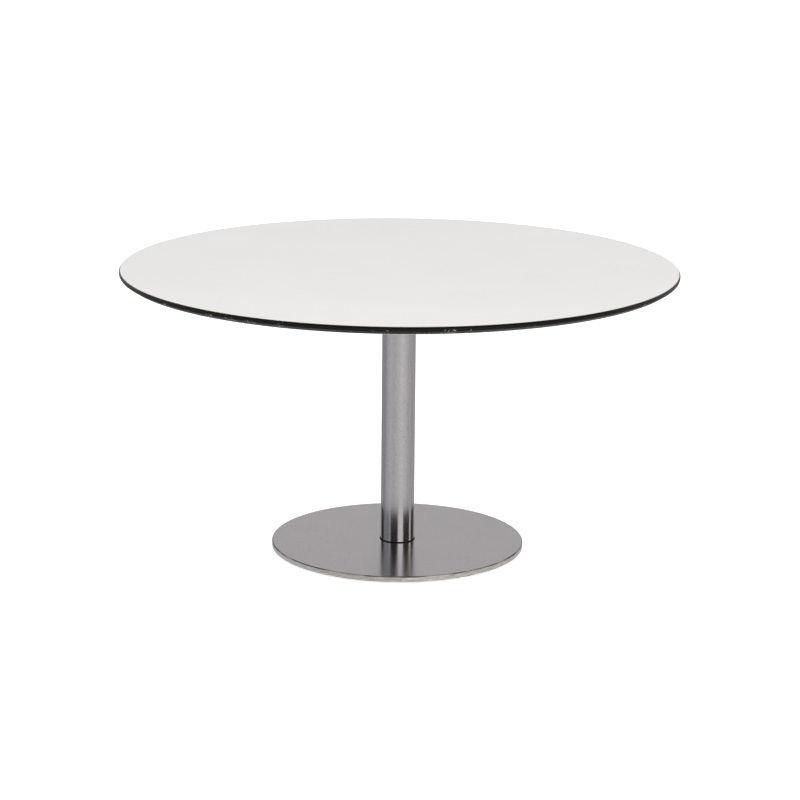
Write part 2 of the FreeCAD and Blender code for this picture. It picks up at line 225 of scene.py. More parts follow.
def plate_mesh(work, loops, bottom, top, edge, steps=3):
    """A flat piece with rounded edges.  loops are functions of the inset: the outline, then holes."""
    quarter = [math.pi / 2 * step / steps for step in range(steps + 1)]
    levels = [(edge * (1 - math.sin(turn)), bottom + edge * (1 - math.cos(turn))) for turn in quarter]
    levels += [(inset, bottom + top - height) for inset, height in reversed(levels)]
    rings = []
    for inset, height in levels:
        rings.append([[work.verts.new((*point, height)) for point in loop(inset)] for loop in loops])
    for one, other in zip(rings, rings[1:]):
        for ring, following in zip(one, other):
            bridge(work, ring, following)
    for level in (rings[0], rings[-1]):
        flat = [vertex for ring in level for vertex in ring]
        for triangle in tessellate_polygon([[vertex.co for vertex in ring] for ring in level]):
            work.faces.new([flat[index] for index in triangle])


def plate(name, loops, bottom, top, edge=0.4 * MM):
    """A flat piece with rounded edges, as an object."""
    work = bmesh.new()
    plate_mesh(work, loops, bottom, top, edge)
    return from_bmesh(name, work)


def threaded(work, radius, pitch, bottom, top, thread=None, centre=(0, 0), sides=32, chamfer=0.6 * MM):
    """A rod with a helical thread over the height ranges in `thread` (all of it when None)."""
    per_turn = 8
    depth = 0.61 * pitch                # a metric thread's
    count = max(int((top - bottom) / pitch * per_turn), 1)
    ranges = thread or [(bottom, top)]
    heights = []
    for index in range(count + 1):
        height = bottom + (top - bottom) * index / count
        in_thread = any(start - pitch <= height <= end + pitch for start, end in ranges)
        if in_thread or index in (0, count) or index % (per_turn * 20) == 0:
            heights.append(height)
    rings = [[work.verts.new((*centre, bottom))]]
    for height in heights:
        grooved = any(start <= height <= end for start, end in ranges)
        end_cut = max(0, chamfer - min(height - bottom, top - height))
        ring = []
        for side in range(sides):
            angle = math.tau * side / sides
            phase = (height / pitch - angle / math.tau) % 1
            groove = depth * abs(2 * phase - 1) if grooved else 0
            reach = min(radius - groove, radius - end_cut)
            ring.append(work.verts.new((centre[0] + reach * math.cos(angle),
                                        centre[1] + reach * math.sin(angle), height)))
        rings.append(ring)
    rings.append([work.verts.new((*centre, top))])
    for one, other in zip(rings, rings[1:]):
        bridge(work, one, other)


def cut(piece, cutters):
    """Take cutters away from a piece and delete them."""
    piece.modifiers.clear()
    for cutter in cutters:
        modifier = piece.modifiers.new("cut", "BOOLEAN")
        modifier.operation = "DIFFERENCE"
        modifier.solver = "EXACT"
        modifier.object = cutter
    view = bpy.context.evaluated_depsgraph_get()
    mesh = bpy.data.meshes.new_from_object(piece.evaluated_get(view))
    mesh.name = piece.name
    piece.modifiers.clear()
    piece.data = mesh
    for cutter in cutters:
        bpy.data.objects.remove(cutter)
    return shaded(piece)


def joined(name, pieces):
    """One object from several, in the first one's place."""
    work = bmesh.new()
    for piece in pieces:
        work.from_mesh(piece.data)
        bpy.data.objects.remove(piece)
    return from_bmesh(name, work)


def ring_places(circle_radius, count):
    """Points evenly spaced on a circle round the column."""
    angles = [math.tau * index / count for index in range(count)]
    return [(circle_radius * math.cos(angle), circle_radius * math.sin(angle)) for angle in angles]


def screw_places():
    """Centres of the screws that hold the top, two under each arm."""
    return [point for circle in SCREW_CIRCLES for point in ring_places(circle, len(ARMS))]


def place(piece, body, slot, *nodes):
    """Ride on a body and stand for CAD nodes, which are hidden.  The slot is not used."""
    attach(piece, body)
    if nodes:
        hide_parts(*nodes)
    return piece


# ---------------------------------------------------------------- materials


class Finish:
    """A material with one Principled shader, and short calls that add nodes to it."""

    def __init__(self, name, **values):
        self.material = bpy.data.materials.new(name)
        self.material.use_nodes = True
        self.tree = self.material.node_tree
        self.shader = self.tree.nodes["Principled BSDF"]
        for socket, value in values.items():
            self.shader.inputs[socket.replace("_", " ")].default_value = value
        self.coordinates = self.tree.nodes.new("ShaderNodeTexCoord").outputs["Object"]

    def wire(self, source, socket):
        """Link an output to a socket, or set the socket to a plain value."""
        if isinstance(source, bpy.types.NodeSocket):
            self.tree.links.new(source, socket)
        else:
            socket.default_value = source

    def scaled(self, stretch):
        """The piece's own coordinates, stretched."""
        mapping = self.tree.nodes.new("ShaderNodeMapping")
        mapping.inputs["Scale"].default_value = stretch
        self.wire(self.coordinates, mapping.inputs["Vector"])
        return mapping.outputs["Vector"]

    def noise(self, scale, stretch=(1, 1, 1), detail=3.0, roughness=0.5):
        node = self.tree.nodes.new("ShaderNodeTexNoise")
        self.wire(self.scaled(stretch), node.inputs["Vector"])
        node.inputs["Scale"].default_value = scale
        node.inputs["Detail"].default_value = detail
        node.inputs["Roughness"].default_value = roughness
        return node.outputs["Fac"]

    def cells(self, scale):
        """Distance to the nearest of many scattered points."""
        node = self.tree.nodes.new("ShaderNodeTexVoronoi")
        self.wire(self.scaled((1, 1, 1)), node.inputs["Vector"])
        node.inputs["Scale"].default_value = scale
        return node.outputs["Distance"]

    def math(self, operation, first, second=0.0):
        node = self.tree.nodes.new("ShaderNodeMath")
        node.operation = operation
        self.wire(first, node.inputs[0])
        self.wire(second, node.inputs[1])
        return node.outputs[0]

    def band(self, value, start, end, low_value=0.0, high_value=1.0):
        """Map value from start..end to low_value..high_value, clamped at both ends."""
        node = self.tree.nodes.new("ShaderNodeMapRange")
        for socket, number in zip(list(node.inputs)[:5], (value, start, end, low_value, high_value)):
            self.wire(number, socket)
        return node.outputs[0]

    def mix(self, share, first, second):
        """A colour between two colours, by share from 0 to 1."""
        node = self.tree.nodes.new("ShaderNodeMix")
        node.data_type = "RGBA"
        self.wire(share, node.inputs["Factor"])
        for socket, colour in (("A", first), ("B", second)):
            found = [item for item in node.inputs if item.name == socket and item.type == "RGBA"][0]
            self.wire((*colour, 1) if isinstance(colour, tuple) else colour, found)
        return [item for item in node.outputs if item.type == "RGBA"][0]

    def axis(self, letter):
        """One of the piece's own coordinates."""
        node = self.tree.nodes.new("ShaderNodeSeparateXYZ")
        self.wire(self.coordinates, node.inputs[0])
        return node.outputs[letter]

    def radius(self):
        """Distance from the column's axis."""
        across = self.math("POWER", self.axis("X"), 2.0)
        along = self.math("POWER", self.axis("Y"), 2.0)
        return self.math("SQRT", self.math("ADD", across, along))

    def total(self, *parts):
        """Sum of (weight, value) pairs."""
        result = 0.0
        for weight, value in parts:
            result = self.math("ADD", self.math("MULTIPLY", value, weight), result)
        return result

    def bump(self, height, distance, strength=1.0):
        node = self.tree.nodes.new("ShaderNodeBump")
        node.inputs["Strength"].default_value = strength
        node.inputs["Distance"].default_value = distance
        self.wire(height, node.inputs["Height"])
        self.wire(node.outputs[0], self.shader.inputs["Normal"])

    def set(self, socket, source):
        self.wire(source, self.shader.inputs[socket])


def white_laminate():
    """Matt white sheet: faint cloudiness, a fine pearl texture and a thin brown line at its cut edge."""
    finish = Finish("white_laminate", Roughness=0.42, Specular_IOR_Level=0.35)
    clouds = finish.noise(7, detail=4)
    mottle = finish.noise(420, detail=2)
    tone = finish.total((0.75, clouds), (0.25, mottle))
    white = finish.mix(finish.band(tone, 0.3, 0.7), (0.752, 0.755, 0.728), (0.772, 0.776, 0.750))
    edge = finish.band(finish.radius(), FACE_RADIUS - 0.5 * MM, FACE_RADIUS - 0.35 * MM)
    finish.set("Base Color", finish.mix(edge, white, (0.23, 0.15, 0.085)))
    finish.set("Roughness", finish.band(finish.total((0.6, clouds), (0.4, mottle)), 0.3, 0.7, 0.38, 0.47))
    finish.bump(finish.total((0.7, finish.noise(1500, detail=2)), (0.3, mottle)), 0.03 * MM, 0.25)
    return finish.material


def backing_sheet():
    """Plain light grey balancing sheet under the top."""
    finish = Finish("backing_sheet", Roughness=0.55, Specular_IOR_Level=0.3)
    tone = finish.total((0.7, finish.noise(11, detail=4)), (0.3, finish.noise(500)))
    darker, lighter = (0.56, 0.553, 0.545), (0.60, 0.594, 0.585)
    finish.set("Base Color", finish.mix(finish.band(tone, 0.3, 0.7), darker, lighter))
    finish.bump(finish.noise(1300, detail=2), 0.04 * MM, 0.35)
    return finish.material


def black_core():
    """Black compact core: fine saw marks, a painted reflection that greys the bevel below, and a few pale
    chips near its two corners.
    """
    finish = Finish("black_core", Roughness=0.34, Specular_IOR_Level=0.12)
    along = finish.noise(90, stretch=(1, 1, 30), detail=4)
    height = finish.axis("Z")
    upper = finish.band(height, CORE_HIGH - 1.2 * MM, CORE_HIGH - 0.4 * MM)
    lower = finish.band(height, CORE_LOW + UNDER_BEVEL + 3 * MM, CORE_LOW + UNDER_BEVEL + 1.5 * MM)
    corners = finish.math("MAXIMUM", upper, lower)
    seldom = finish.band(finish.noise(28, detail=1), 0.60, 0.63)
    chip = finish.band(finish.noise(420, detail=3), 0.62, 0.66)
    chips = finish.math("MULTIPLY", finish.math("MULTIPLY", seldom, chip), corners)
    black = finish.mix(finish.band(along, 0.35, 0.7), (0.0020, 0.0020, 0.0020), (0.0055, 0.0053, 0.0050))
    # Painted reflection: the lower bevel's base colour is made greyer, standing in for the floor that it
    # reflects.
    bevel = finish.band(height, CORE_LOW + UNDER_BEVEL + MM, CORE_LOW + UNDER_BEVEL - 2 * MM)
    black_with_painted_reflection = finish.mix(bevel, black, (0.012, 0.012, 0.0115))
    finish.set("Base Color", finish.mix(chips, black_with_painted_reflection, (0.42, 0.38, 0.33)))
    rough = finish.band(along, 0.3, 0.7, 0.27, 0.40)
    finish.set("Roughness", finish.math("MAXIMUM", rough, finish.math("MULTIPLY", chips, 0.8)))
    finish.bump(finish.total((0.5, along), (0.3, finish.noise(900)), (-1.0, chips)), 0.08 * MM, 0.35)
    return finish.material


def satin_steel(name, stretch, colour, rough, streak):
    """Ground stainless steel: fine grain along `stretch`, a soft mottle, and a few dark specks."""
    finish = Finish(name, Metallic=1.0)
    grain = finish.noise(900, stretch=stretch, detail=4, roughness=0.6)
    fine = finish.noise(1900, detail=2)
    mottle = finish.noise(260, detail=3)
    clouds = finish.noise(16, detail=3)
    tone = finish.total((0.3 * streak, grain), (0.1, fine), (0.6, mottle), (0.3 - 0.3 * streak, clouds))
    darker = tuple(channel * 0.93 for channel in colour)
    lighter = tuple(channel * 1.06 for channel in colour)
    steel = finish.mix(finish.band(tone, 0.36, 0.64), darker, lighter)
    speck = finish.band(finish.cells(60), 0.075, 0.045)
    few = finish.band(finish.noise(23, detail=1), 0.53, 0.57)
    specks = finish.math("MULTIPLY", finish.math("MULTIPLY", speck, few), 0.7)
    finish.set("Base Color", finish.mix(specks, steel, (0.07, 0.065, 0.06)))
    worn = finish.total((0.5, mottle), (0.3, grain), (0.2, clouds))
    finish.set("Roughness", finish.band(worn, 0.35, 0.65, *rough))
    finish.bump(finish.total((streak, grain), (0.4, fine), (0.3, mottle)), 0.008 * MM, 0.3)
    return finish.material


def ground_rim():
    """The disc's cut rim: rougher, with lines along it and a dark line of painted reflection that comes and
    goes at its top.
    """
    finish = Finish("ground_rim", Metallic=1.0)
    lines = finish.noise(60, stretch=(1, 1, 14), detail=5, roughness=0.7)
    pits = finish.noise(700, detail=3)
    # Painted reflection: a dark line on the top corner's rounding, standing in for the dark surroundings
    # that the curved corner reflects.
    uneven_height = finish.total((1.0, finish.axis("Z")), (0.8 * MM, finish.noise(25, detail=2)))
    painted_reflection_height = BASE_HIGH - 0.4 * MM
    distance = finish.math("ABSOLUTE", finish.math("SUBTRACT", uneven_height, painted_reflection_height))
    line = finish.band(distance, 1.3 * MM, 0.6 * MM)
    dark = finish.math("MULTIPLY", line, finish.band(finish.noise(18, detail=2), 0.4, 0.6, 0.3, 1.0))
    tone = finish.total((0.7, lines), (0.3, pits))
    cut_steel = finish.mix(finish.band(tone, 0.35, 0.62), (0.20, 0.19, 0.18), (0.66, 0.635, 0.605))
    # The painted dark reflection is mixed into the base colour here.
    finish.set("Base Color", finish.mix(dark, cut_steel, (0.05, 0.045, 0.04)))
    finish.set("Roughness", finish.band(tone, 0.3, 0.7, 0.34, 0.52))
    finish.bump(finish.total((1.0, lines), (0.4, pits), (-0.8, dark)), 0.12 * MM, 0.6)
    return finish.material


def black_rubber():
    """Matt black rubber with a slight grey bloom."""
    finish = Finish("black_rubber", Roughness=0.7, Specular_IOR_Level=0.12)
    bloom = finish.noise(240, detail=3)
    clean, bloomed = (0.002, 0.002, 0.002), (0.007, 0.007, 0.007)
    finish.set("Base Color", finish.mix(finish.band(bloom, 0.35, 0.7), clean, bloomed))
    finish.bump(finish.noise(1600), 0.04 * MM, 0.5)
    return finish.material


def black_steel():
    """Powder coat: fine orange peel and a slightly uneven tone."""
    finish = Finish("black_steel", Roughness=0.42, Specular_IOR_Level=0.5)
    peel = finish.noise(900, detail=2)
    wide = finish.noise(30, detail=3)
    darker, lighter = (0.010, 0.010, 0.011), (0.020, 0.020, 0.021)
    finish.set("Base Color", finish.mix(finish.band(wide, 0.35, 0.7), darker, lighter))
    finish.set("Roughness", finish.band(finish.total((0.6, wide), (0.4, peel)), 0.3, 0.7, 0.34, 0.52))
    finish.bump(peel, 0.12 * MM, 0.45)
    return finish.material


def turned_steel(name, colour, rough=(0.25, 0.42)):
    """Machined or plated steel: fine rings and a little uneven tone."""
    finish = Finish(name, Metallic=1.0)
    tool = finish.noise(1400, stretch=(0.15, 0.15, 1), detail=2)
    stain = finish.noise(120, detail=4)
    darker = tuple(channel * 0.72 for channel in colour)
    finish.set("Base Color", finish.mix(finish.band(stain, 0.3, 0.65), darker, colour))
    finish.set("Roughness", finish.band(finish.total((0.5, tool), (0.5, stain)), 0.3, 0.7, *rough))
    finish.bump(tool, 0.02 * MM, 0.4)
    return finish.material


def moulded_plastic():
    """Spark-textured black plastic with paler scuffs."""
    finish = Finish("pad_plastic", Roughness=0.5, Specular_IOR_Level=0.4)
    spark = finish.noise(1200, detail=2)
    scuff = finish.noise(300, stretch=(1, 3, 1), detail=4)
    clean, scuffed = (0.010, 0.010, 0.010), (0.030, 0.029, 0.028)
    finish.set("Base Color", finish.mix(finish.band(scuff, 0.4, 0.75), clean, scuffed))
    finish.set("Roughness", finish.band(scuff, 0.3, 0.7, 0.42, 0.6))
    finish.bump(finish.total((0.7, spark), (0.3, scuff)), 0.05 * MM, 0.5)
    return finish.material


# ---------------------------------------------------------------- pieces


def paint(piece, *materials):
    """Give a piece its materials, in place of any that it has."""
    piece.data.materials.clear()
    for item in materials:
        piece.data.materials.append(item)
    return piece


def paint_outside(piece, index, radius):
    """Give one of a piece's materials to its faces beyond a radius."""
    for face in piece.data.polygons:
        if math.hypot(face.center.x, face.center.y) > radius:
            face.material_index = index


def build_top(look):
    """White face sheet, black core with its two bevels, and the sheet below."""
    face = lathe("face_sheet", [
        (0, CORE_HIGH), (FACE_RADIUS, CORE_HIGH),
        (FACE_RADIUS, TOP_HEIGHT - 0.3 * MM),
        (FACE_RADIUS - 0.12 * MM, TOP_HEIGHT - 0.1 * MM),
        (FACE_RADIUS - 0.35 * MM, TOP_HEIGHT),
        (FACE_RADIUS * 0.75, TOP_HEIGHT), (FACE_RADIUS * 0.5, TOP_HEIGHT), (FACE_RADIUS * 0.25, TOP_HEIGHT),
        (0, TOP_HEIGHT)], FINE)
    place(paint(face, look["white_laminate"]), TABLE, "white_laminate", "face_laminate")
    bevel = TOP_RADIUS - FACE_RADIUS
    core = lathe("top_core", softened([
        (0, CORE_LOW, 0),
        (BACKING_RADIUS, CORE_LOW, 0.4 * MM),
        (TOP_RADIUS, CORE_LOW + UNDER_BEVEL, UNDER_ROUNDING),
        (TOP_RADIUS, CORE_HIGH - bevel, 0.3 * MM),
        (FACE_RADIUS, CORE_HIGH, 0.15 * MM),
        (0, CORE_HIGH, 0)], 10), FINE)
    insert_radius = high("threaded_inserts").x - SCREW_CIRCLES[-1]
    insert_top = high("threaded_inserts").z
    below = CORE_LOW - MM
    insert_bore = [(0, below), (insert_radius, below), (insert_radius, insert_top), (0, insert_top)]
    cut(core, [lathe("insert_bore", insert_bore, SMALL, point) for point in screw_places()])
    place(paint(core, look["black_core"]), TABLE, "black_core", "compact_core")
    screw_holes = [round_loop(insert_radius, point, SMALL, hole=True) for point in screw_places()]
    backing = plate("backing", [round_loop(BACKING_RADIUS - 0.3 * MM, sides=FINE)] + screw_holes,
                    TOP_UNDERSIDE, CORE_LOW, 0.1 * MM)
    place(paint(backing, look["backing_sheet"]), TABLE, "backing_sheet", "backing_laminate")


def build_column(look):
    """Steel tube with broken edges, standing on a rounded black ring."""
    bottom, top = low("column_tube").z, high("column_tube").z
    bore = COLUMN_RADIUS - COLUMN_WALL
    edge = 0.4 * MM
    tube = lathe("column", softened([(bore, bottom, edge), (COLUMN_RADIUS, bottom, 2 * edge),
                                     (COLUMN_RADIUS, top, edge), (bore, top, edge)], 5), FINE)
    place(paint(tube, look["column_steel"]), TABLE, "brushed_steel", "column_tube")
    ring_low, ring_high = low("base_gasket").z, high("base_gasket").z
    ring = lathe("foot_ring", softened([
        (bore + 0.2 * MM, ring_low, 0.1 * MM), (RING_RADIUS, ring_low, 0.1 * MM),
        (RING_RADIUS, ring_high, 0.4 * MM), (bore + 0.2 * MM, ring_high, 0.1 * MM)], 6), FINE)
    place(paint(ring, look["black_rubber"]), TABLE, "black_rubber", "base_gasket")


def build_base(look):
    """Disc with a rounded upper corner, a recess below and holes for the feet and screws."""
    recess_top = BASE_LOW + RECESS_DEPTH
    disc = lathe("base_plate", softened([
        (ROD_HOLE, recess_top, 0.2 * MM),
        (RECESS, recess_top, 0),
        (RECESS, BASE_LOW, 0.4 * MM),
        (BASE_RADIUS, BASE_LOW, 0.6 * MM),
        (BASE_RADIUS, BASE_HIGH, BASE_CORNER),
        (ROD_HOLE, BASE_HIGH, 0.2 * MM)], 10), FINE)
    below, above = BASE_LOW - MM, BASE_HIGH + MM
    mouth = FOOT_BORE + 0.55 * MM
    foot_bore_top = BASE_LOW + FOOT_BORE_DEPTH
    foot_bore = [(0, below), (mouth, below), (mouth, BASE_LOW), (FOOT_BORE, BASE_LOW + 0.6 * MM),
                 (FOOT_BORE, foot_bore_top), (0, foot_bore_top)]
    screw_bore = [(0, below), (COUNTERSINK, below), (COUNTERSINK, BASE_LOW),
                  (SCREW_HOLE, BASE_LOW + COUNTERSINK_DEPTH), (SCREW_HOLE, above), (0, above)]
    cutters = [lathe("foot_bore", foot_bore, SMALL, point) for point in ring_places(FOOT_CIRCLE, len(FEET))]
    for point in ring_places(PLUG_SCREW_CIRCLE, PLUG_SCREWS):
        cutters.append(lathe("screw_bore", screw_bore, SMALL, point))
    cut(disc, cutters)
    paint(disc, look["disc_steel"], look["ground_rim"])
    paint_outside(disc, 1, BASE_RADIUS - 1.5 * MM)
    place(disc, TABLE, "brushed_steel", "base_disc")


def screw(point, head_low, head_high, tip):
    """An M6 pan-head screw pointing up, with a 4 mm hexagon socket in its head."""
    head_radius = 5.5 * MM
    head = lathe("pan_head", softened([
        (0, head_low, 0), (head_radius, head_low, 1.2 * MM),
        (head_radius, head_high, 0.15 * MM), (0, head_high, 0)], 6), SMALL, point)
    key = plate("key", [hexagon(4 * MM, point)], head_low - MM, head_low + 2 * MM, 0.02 * MM)
    shank = bmesh.new()
    threaded(shank, M6_RADIUS, M6_PITCH, head_high, tip, centre=point, sides=24)
    return [cut(head, [key]), from_bmesh("shank", shank)]


def build_screws(look):
    """Pan-head screws under the arms, and countersunk ones under the base."""
    pieces = []
    for point in screw_places():
        pieces += screw(point, low("spider_screws").z, ARM_LOW, high("spider_screws").z)
    screws = joined("top_screws", pieces)
    place(paint(screws, look["fastener_steel"]), TABLE, "fastener_steel", "spider_screws")
    head_radius, shank_radius, tip = 5 * MM, 2.5 * MM, BASE_LOW + 14 * MM
    outline = softened([
        (0, BASE_LOW, 0), (head_radius, BASE_LOW, 0.15 * MM),
        (shank_radius, BASE_LOW + COUNTERSINK_DEPTH, 0.2 * MM),
        (shank_radius, tip, 0.4 * MM), (0, tip, 0)], 3)
    plug_screws = []
    for point in ring_places(PLUG_SCREW_CIRCLE, PLUG_SCREWS):
        work = bmesh.new()
        plate_mesh(work, [hexagon(3 * MM, point)], BASE_LOW - MM, BASE_LOW + 2 * MM, 0.02 * MM, 1)
        plug_screws.append(cut(lathe("plug_screw", outline, SMALL, point), [from_bmesh("key", work)]))
    base_screws = paint(joined("base_screws", plug_screws), look["fastener_steel"])
    place(base_screws, TABLE, "fastener_steel", "plug_screws")


def build_rod(look):
    """Rod threaded at both ends, its thin nut and its washer."""
    bottom, top = low("tie_rod").z, high("tie_rod").z
    work = bmesh.new()
    threads = [(bottom, bottom + ROD_THREAD), (top - ROD_THREAD, top)]
    threaded(work, high("tie_rod").x, M10_PITCH, bottom, top, threads)
    place(paint(from_bmesh("rod", work), look["fastener_steel"]), TABLE, "fastener_steel", "tie_rod")
    flats = 2 * high("tie_rod_nut").y
    nut = plate("rod_nut", [hexagon(flats), round_loop(WASHER_BORE, hole=True, sides=SMALL)],
                low("tie_rod_nut").z, high("tie_rod_nut").z, 0.5 * MM)
    place(paint(nut, look["fastener_steel"]), TABLE, "fastener_steel", "tie_rod_nut")
    washer = plate("rod_washer", [round_loop(high("tie_rod_washer").x), round_loop(WASHER_BORE, hole=True)],
                   low("tie_rod_washer").z, high("tie_rod_washer").z, 0.3 * MM)
    place(paint(washer, look["fastener_steel"]), TABLE, "fastener_steel", "tie_rod_washer")


def turned(piece, angle):
    """Turn a piece's mesh round the column's axis."""
    piece.data.transform(Matrix.Rotation(angle, 4, "Z"))
    return piece


def build_spider(look):
    """Centre plate and four arms with rounded edges, and a weld bead along each joint."""
    square = rectangle(-PLATE_HALF, PLATE_HALF, -PLATE_HALF, PLATE_HALF, (10 * MM,) * 4)
    centre = plate("spider_centre", [square], ARM_LOW, TOP_UNDERSIDE, 0.6 * MM)
    place(paint(centre, look["black_steel"]), TABLE, "black_steel", "spider_plate")
    outline = rectangle(PLATE_HALF, ARM_REACH, -ARM_HALF, ARM_HALF, (0, 12 * MM, 12 * MM, 0))
    holes = [round_loop(M6_RADIUS + 0.3 * MM, (circle, 0), SMALL, hole=True) for circle in SCREW_CIRCLES]
    weld_start, weld_end = (PLATE_HALF, -ARM_HALF + MM), (PLATE_HALF, ARM_HALF - MM)
    for number in ARMS:
        angle = math.tau * number / len(ARMS)
        arm = turned(plate(f"arm_{number + 1}", [outline] + holes, ARM_LOW, TOP_UNDERSIDE, 0.6 * MM), angle)
        place(paint(arm, look["black_steel"]), TABLE, "black_steel", f"spider_arm_{number + 1}")
        bead = turned(weld_bead(f"weld_{number + 1}", weld_start, weld_end), angle)
        place(paint(bead, look["black_steel"]), TABLE, "black_steel")
    ring = weld_ring("hub_weld", COLUMN_RADIUS + 0.6 * MM)
    place(paint(ring, look["black_steel"]), TABLE, "black_steel")


def rippled(work, points, closed=False):
    """A bead along (x, y, across x, across y, ripple) points on the arms' underside."""
    half_width, height, steps = 2.4 * MM, 1.3 * MM, 11
    rings = []
    for x, y, across_x, across_y, ripple in points:
        ring = []
        for step in range(steps + 1):
            angle = math.pi * step / steps
            spread = half_width * (0.85 + 0.15 * ripple) * math.cos(angle)
            drop = height * (0.7 + 0.3 * ripple) * math.sin(angle)
            ring.append(work.verts.new((x + across_x * spread, y + across_y * spread, ARM_LOW - drop)))
        rings.append(ring)
    pairs = list(zip(rings, rings[1:] + rings[:1])) if closed else list(zip(rings, rings[1:]))
    for one, other in pairs:
        bridge(work, one, other)
    if not closed:
        work.faces.new(rings[0])
        work.faces.new(rings[-1])


def ripple_at(distance):
    """Height of the scale-like ripples along a weld, from 0 to 1."""
    return 1 - (distance / (1.6 * MM) % 1) ** 2


def weld_bead(name, start, end):
    """A straight weld whose ends fade out."""
    length = math.dist(start, end)
    along = Vector((end[0] - start[0], end[1] - start[1])) / length
    count, fade_length = 120, 2 * MM
    points = []
    for index in range(count + 1):
        distance = length * index / count
        fade = min(1, distance / fade_length, (length - distance) / fade_length)
        points.append((start[0] + along.x * distance, start[1] + along.y * distance,
                       along.y * max(fade, 0.3), -along.x * max(fade, 0.3), ripple_at(distance) * fade))
    work = bmesh.new()
    rippled(work, points)
    return from_bmesh(name, work, 60)


def weld_ring(name, radius):
    """Fillet weld round the column's top end, under the plate."""
    count = 360
    points = []
    for index in range(count):
        angle = math.tau * index / count
        points.append((radius * math.cos(angle), radius * math.sin(angle), math.cos(angle), math.sin(angle),
                       ripple_at(radius * angle)))
    work = bmesh.new()
    rippled(work, points, closed=True)
    return from_bmesh(name, work, 60)


def build_feet(look):
    """Grip-edged pads that slide down with studs that turn in them."""
    pad_top = high("foot_pad_1").z
    stud_low, stud_top = low("foot_stud_1").z, high("foot_stud_1").z
    key_hole, neck, pocket, flange = 3 * MM, 4.6 * MM, 6.2 * MM, 6 * MM
    pocket_low, pocket_high = 1 * MM, pad_top - 0.5 * MM
    shoulder = pocket_high - 0.05 * MM
    outline = softened([
        (key_hole, 0, 0.2 * MM), (PAD_RADIUS, 0, 0.6 * MM), (PAD_RADIUS, pad_top, 0.6 * MM),
        (neck, pad_top, 0.1 * MM), (neck, pocket_high, 0), (pocket, pocket_high, 0),
        (pocket, pocket_low, 0), (key_hole, pocket_low, 0.1 * MM)], 4)
    notches, notch_depth, notched_width = 24, 0.45 * MM, 1.2 * MM

    def grip(radius, angle):
        if radius < PAD_RADIUS - notched_width:
            return radius
        return radius - notch_depth * (0.5 + 0.5 * math.cos(notches * angle)) ** 4

    for number, point in zip(FEET, ring_places(FOOT_CIRCLE, len(FEET))):
        pad = lathe(f"pad_{number}", outline, 10 * notches, point, grip)
        place(paint(pad, look["pad_plastic"]), f"foot_{number}", "pad_plastic", f"foot_pad_{number}")
        work = bmesh.new()
        plate_mesh(work, [round_loop(flange, point, SMALL), hexagon(4 * MM, point, hole=True)],
                   stud_low, shoulder, 0.15 * MM)
        threaded(work, M8_RADIUS, M8_PITCH, shoulder, stud_top, centre=point, sides=40)
        stud = from_bmesh(f"stud_{number}", work)
        place(paint(stud, look["fastener_steel"]), f"stud_{number}", "fastener_steel", f"foot_stud_{number}")


def dress_hidden(look):
    """Finishes for the CAD nodes that stay as they are, inside the table."""
    hidden = {"threaded_inserts": "brass", "lower_plug": "plain_steel", "spider_hub": "black_steel"}
    for node, name in hidden.items():
        paint(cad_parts[node], look[name])


# ---------------------------------------------------------------- studio


def glow_material(name, stops):
    """Light given off by direction.

    Stops are (angle in degrees to the right of the table's front, colour, strength).
    """
    material = bpy.data.materials.new(name)
    material.use_nodes = True
    tree = material.node_tree
    tree.nodes.clear()
    coordinates = tree.nodes.new("ShaderNodeTexCoord")
    around = tree.nodes.new("ShaderNodeTexGradient")
    around.gradient_type = "RADIAL"
    ramp = tree.nodes.new("ShaderNodeValToRGB")
    glow = tree.nodes.new("ShaderNodeEmission")
    output = tree.nodes.new("ShaderNodeOutputMaterial")
    tree.links.new(coordinates.outputs["Object"], around.inputs["Vector"])
    tree.links.new(around.outputs["Fac"], ramp.inputs["Fac"])
    tree.links.new(ramp.outputs["Color"], glow.inputs["Color"])
    tree.links.new(glow.outputs[0], output.inputs["Surface"])
    ramp.color_ramp.interpolation = "EASE"
    # The radial gradient goes from 0 to 1 once round, starting on the table's left
    points = sorted((((angle - 90) / 360 + 0.5) % 1, colour, strength) for angle, colour, strength in stops)
    elements = ramp.color_ramp.elements
    for element, point in zip(elements, (points[0], points[-1])):
        element.position = point[0]
        element.color = [channel * point[2] for channel in point[1]] + [1]
    for position, colour, strength in points[1:-1]:
        elements.new(position).color = [channel * strength for channel in colour] + [1]
    return material


def seen_in_gloss_only(thing):
    """Hide a screen from everything but glossy reflections."""
    thing.visible_camera = False
    thing.visible_diffuse = False
    thing.visible_transmission = False
    thing.visible_shadow = False
    return thing


def panel(name, angle, distance, centre_height, width, height, colour, radiance):
    """A soft light panel that faces the table.  The angle is in degrees to the right of its front."""
    data = bpy.data.lights.new(name, "AREA")
    data.shape = "RECTANGLE"
    data.size = width
    data.size_y = height
    data.color = colour
    data.energy = radiance * math.pi * width * height
    lamp = bpy.data.objects.new(name, data)
    bpy.context.scene.collection.objects.link(lamp)
    turn = math.radians(angle)
    lamp.location = (distance * math.sin(turn), -distance * math.cos(turn), centre_height)
    middle = Vector((0, 0, 0.25))
    aim = middle - lamp.location
    lamp.rotation_euler = aim.to_track_quat("-Z", "Y").to_euler()
    lamp.visible_camera = False
    return lamp


def swept(name, first, last, start, end, columns=72):
    """A screen or card swept round the column from one (radius, height) to another."""
    work = bmesh.new()
    rows = []
    for radius, height in (start, end):
        row = []
        for index in range(columns + 1):
            turn = math.radians(first + (last - first) * index / columns)
            row.append(work.verts.new((radius * math.sin(turn), -radius * math.cos(turn), height)))
        rows.append(row)
    for index in range(columns):
        work.faces.new((rows[0][index], rows[0][index + 1], rows[1][index + 1], rows[1][index]))
    mesh = bpy.data.meshes.new(name)
    work.to_mesh(mesh)
    work.free()
    screen = link(name, mesh)
    return screen


